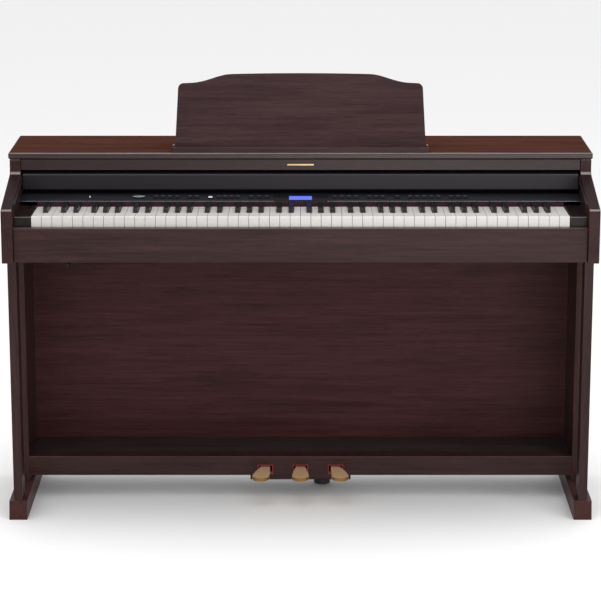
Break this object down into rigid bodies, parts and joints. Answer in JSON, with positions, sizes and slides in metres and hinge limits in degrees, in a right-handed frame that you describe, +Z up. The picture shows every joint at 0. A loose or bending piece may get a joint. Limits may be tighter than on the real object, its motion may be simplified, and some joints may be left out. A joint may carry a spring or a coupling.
{
  "type": "digital piano on stand",
  "caption": "Upright-style digital piano in a dark rosewood cabinet on a panel stand, with a weighted keyboard, sliding key cover, folding music rest and three brass pedals.",
  "frame": {"origin": "centre of the footprint on the floor", "axes": "+X towards the treble end, +Y towards the back, +Z up"},
  "size_m": [1.378, 0.43, 1.0385],
  "materials": {
    "rosewood": "satin dark rosewood veneer with fine horizontal grain",
    "rosewood_top": "satin rosewood veneer, redder where it faces up",
    "dark_wood": "matt dark brown",
    "cover_black": "satin black",
    "panel_black": "fine matt black",
    "black_plastic": "matt black",
    "button_grey": "satin dark grey",
    "screen": "gloss black window with a blue display",
    "white_key": "semi-gloss ivory white",
    "black_key": "satin black",
    "brass": "polished brass",
    "steel": "plain steel",
    "red_felt": "dark red felt",
    "rubber": "black",
    "circuit_board": "green"
  },
  "bodies": {
    "cabinet": {"foot_left": "rosewood", "foot_right": "rosewood", "leg_left": "rosewood", "leg_right": "rosewood", "side_panel_left": "rosewood", "side_panel_right": "rosewood", "back_panel": "rosewood", "pedal_rail": "rosewood", "pedal_shelf": "dark_wood", "pedal_housing": "black_plastic", "pedal_axle": "steel", "pedal_springs": "steel", "pedal_felts": "red_felt", "stand_bolts": "steel", "side_arm_left": "rosewood", "side_arm_right": "rosewood", "top_board": "rosewood_top", "front_fascia": "rosewood", "rear_cover": "dark_wood", "jack_panel": "black_plastic", "key_bed": "dark_wood", "key_slip": "rosewood", "cheek_blocks": "dark_wood", "key_frame": "steel", "nameboard_felt": "red_felt", "key_cover_rails": "black_plastic", "music_rest_ledge": "rosewood", "control_panel": "panel_black", "display_screen": "screen", "main_board": "circuit_board", "speakers": "black_plastic", "headphone_box": "black_plastic"},
    "key_c4": {"key_c4": "white_key"},
    "key_c4_sharp": {"key_c4_sharp": "black_key"},
    "key_d4": {"key_d4": "white_key"},
    "key_d4_sharp": {"key_d4_sharp": "black_key"},
    "key_e4": {"key_e4": "white_key"},
    "key_f4": {"key_f4": "white_key"},
    "key_f4_sharp": {"key_f4_sharp": "black_key"},
    "key_g4": {"key_g4": "white_key"},
    "key_g4_sharp": {"key_g4_sharp": "black_key"},
    "key_a4": {"key_a4": "white_key"},
    "key_a4_sharp": {"key_a4_sharp": "black_key"},
    "key_b4": {"key_b4": "white_key"},
    "white_keys_bass": {"white_keys_bass": "white_key"},
    "black_keys_bass": {"black_keys_bass": "black_key"},
    "white_keys_treble": {"white_keys_treble": "white_key"},
    "black_keys_treble": {"black_keys_treble": "black_key"},
    "pedal_left": {"pedal_left": "brass"},
    "pedal_center": {"pedal_center": "brass"},
    "pedal_right": {"pedal_right": "brass"},
    "stabilizer_foot": {"stabilizer_foot": "rubber"},
    "key_cover": {"key_cover": "cover_black"},
    "key_cover_shaft": {"key_cover_shaft": "steel"},
    "music_rest": {"music_rest": "rosewood"},
    "music_rest_stays": {"music_rest_stays": "steel"},
    "volume_slider": {"volume_slider": "black_plastic"},
    "buttons_left": {"buttons_left": "button_grey"},
    "buttons_right": {"buttons_right": "button_grey"},
    "power_button": {"power_button": "button_grey"}
  },
  "joints": [
    {"name": "key_c4_press", "type": "hinge", "parent": "cabinet", "child": "key_c4", "pos_m": [0, 0.035, 0.72967], "axis": [1, 0, 0], "range_deg": [0, 2.6], "stiffness_Nm_per_rad": 1, "springref_deg": -9.74},
    {"name": "key_c4_sharp_press", "type": "hinge", "parent": "cabinet", "child": "key_c4_sharp", "pos_m": [0, 0.035, 0.72967], "axis": [1, 0, 0], "range_deg": [0, 2.6], "stiffness_Nm_per_rad": 1, "springref_deg": -9.74},
    {"name": "key_d4_press", "type": "hinge", "parent": "cabinet", "child": "key_d4", "pos_m": [0, 0.035, 0.72967], "axis": [1, 0, 0], "range_deg": [0, 2.6], "stiffness_Nm_per_rad": 1, "springref_deg": -9.74},
    {"name": "key_d4_sharp_press", "type": "hinge", "parent": "cabinet", "child": "key_d4_sharp", "pos_m": [0, 0.035, 0.72967], "axis": [1, 0, 0], "range_deg": [0, 2.6], "stiffness_Nm_per_rad": 1, "springref_deg": -9.74},
    {"name": "key_e4_press", "type": "hinge", "parent": "cabinet", "child": "key_e4", "pos_m": [0, 0.035, 0.72967], "axis": [1, 0, 0], "range_deg": [0, 2.6], "stiffness_Nm_per_rad": 1, "springref_deg": -9.74},
    {"name": "key_f4_press", "type": "hinge", "parent": "cabinet", "child": "key_f4", "pos_m": [0, 0.035, 0.72967], "axis": [1, 0, 0], "range_deg": [0, 2.6], "stiffness_Nm_per_rad": 1, "springref_deg": -9.74},
    {"name": "key_f4_sharp_press", "type": "hinge", "parent": "cabinet", "child": "key_f4_sharp", "pos_m": [0, 0.035, 0.72967], "axis": [1, 0, 0], "range_deg": [0, 2.6], "stiffness_Nm_per_rad": 1, "springref_deg": -9.74},
    {"name": "key_g4_press", "type": "hinge", "parent": "cabinet", "child": "key_g4", "pos_m": [0, 0.035, 0.72967], "axis": [1, 0, 0], "range_deg": [0, 2.6], "stiffness_Nm_per_rad": 1, "springref_deg": -9.74},
    {"name": "key_g4_sharp_press", "type": "hinge", "parent": "cabinet", "child": "key_g4_sharp", "pos_m": [0, 0.035, 0.72967], "axis": [1, 0, 0], "range_deg": [0, 2.6], "stiffness_Nm_per_rad": 1, "springref_deg": -9.74},
    {"name": "key_a4_press", "type": "hinge", "parent": "cabinet", "child": "key_a4", "pos_m": [0, 0.035, 0.72967], "axis": [1, 0, 0], "range_deg": [0, 2.6], "stiffness_Nm_per_rad": 1, "springref_deg": -9.74},
    {"name": "key_a4_sharp_press", "type": "hinge", "parent": "cabinet", "child": "key_a4_sharp", "pos_m": [0, 0.035, 0.72967], "axis": [1, 0, 0], "range_deg": [0, 2.6], "stiffness_Nm_per_rad": 1, "springref_deg": -9.74},
    {"name": "key_b4_press", "type": "hinge", "parent": "cabinet", "child": "key_b4", "pos_m": [0, 0.035, 0.72967], "axis": [1, 0, 0], "range_deg": [0, 2.6], "stiffness_Nm_per_rad": 1, "springref_deg": -9.74},
    {"name": "white_keys_bass_press", "type": "hinge", "parent": "cabinet", "child": "white_keys_bass", "pos_m": [0, 0.035, 0.72967], "axis": [1, 0, 0], "range_deg": [0, 2.6], "stiffness_Nm_per_rad": 23, "springref_deg": -9.74},
    {"name": "black_keys_bass_press", "type": "hinge", "parent": "cabinet", "child": "black_keys_bass", "pos_m": [0, 0.035, 0.72967], "axis": [1, 0, 0], "range_deg": [0, 2.6], "stiffness_Nm_per_rad": 16, "springref_deg": -9.74},
    {"name": "white_keys_treble_press", "type": "hinge", "parent": "cabinet", "child": "white_keys_treble", "pos_m": [0, 0.035, 0.72967], "axis": [1, 0, 0], "range_deg": [0, 2.6], "stiffness_Nm_per_rad": 22, "springref_deg": -9.74},
    {"name": "black_keys_treble_press", "type": "hinge", "parent": "cabinet", "child": "black_keys_treble", "pos_m": [0, 0.035, 0.72967], "axis": [1, 0, 0], "range_deg": [0, 2.6], "stiffness_Nm_per_rad": 15, "springref_deg": -9.74},
    {"name": "pedal_left_press", "type": "hinge", "parent": "cabinet", "child": "pedal_left", "pos_m": [0, 0.115, 0.076], "axis": [1, 0, 0], "range_deg": [0, 4], "stiffness_Nm_per_rad": 30, "springref_deg": -2.86},
    {"name": "pedal_center_press", "type": "hinge", "parent": "cabinet", "child": "pedal_center", "pos_m": [0, 0.115, 0.076], "axis": [1, 0, 0], "range_deg": [0, 4], "stiffness_Nm_per_rad": 30, "springref_deg": -2.86},
    {"name": "pedal_right_press", "type": "hinge", "parent": "cabinet", "child": "pedal_right", "pos_m": [0, 0.115, 0.076], "axis": [1, 0, 0], "range_deg": [0, 4], "stiffness_Nm_per_rad": 30, "springref_deg": -2.86},
    {"name": "key_cover_slide", "type": "slide", "parent": "cabinet", "child": "key_cover_shaft", "axis": [0, -0.9848, -0.1736], "range_m": [0, 0.178]},
    {"name": "key_cover_lower", "type": "hinge", "parent": "key_cover_shaft", "child": "key_cover", "pos_m": [0, 0.151, 0.828], "axis": [1, 0, 0], "range_deg": [0, 3]},
    {"name": "music_rest_fold", "type": "hinge", "parent": "cabinet", "child": "music_rest", "pos_m": [0, 0.0045, 0.8711], "axis": [-1, 0, 0], "range_deg": [0, 72]},
    {"name": "music_rest_stays_fold", "type": "hinge", "parent": "music_rest", "child": "music_rest_stays", "pos_m": [0, 0.02484, 0.92759], "axis": [1, 0, 0], "range_deg": [0, 127.2]},
    {"name": "volume_slide", "type": "slide", "parent": "cabinet", "child": "volume_slider", "axis": [1, 0, 0], "range_m": [-0.012, 0.012]},
    {"name": "buttons_left_press", "type": "slide", "parent": "cabinet", "child": "buttons_left", "axis": [0, 0.422, -0.9066], "range_m": [0, 0.001], "stiffness_N_per_m": 600, "springref_m": -0.0006},
    {"name": "buttons_right_press", "type": "slide", "parent": "cabinet", "child": "buttons_right", "axis": [0, 0.422, -0.9066], "range_m": [0, 0.001], "stiffness_N_per_m": 600, "springref_m": -0.0006},
    {"name": "power_button_press", "type": "slide", "parent": "cabinet", "child": "power_button", "axis": [0, 0.422, -0.9066], "range_m": [0, 0.0012], "stiffness_N_per_m": 300, "springref_m": -0.0006},
    {"name": "stabilizer_adjust", "type": "slide", "parent": "cabinet", "child": "stabilizer_foot", "axis": [0, 0, 1], "range_m": [0, 0.01]}
  ],
  "couplings": [
    {"joint": "music_rest_stays_fold", "follows": "music_rest_fold", "ratio": 1.7607}
  ]
}
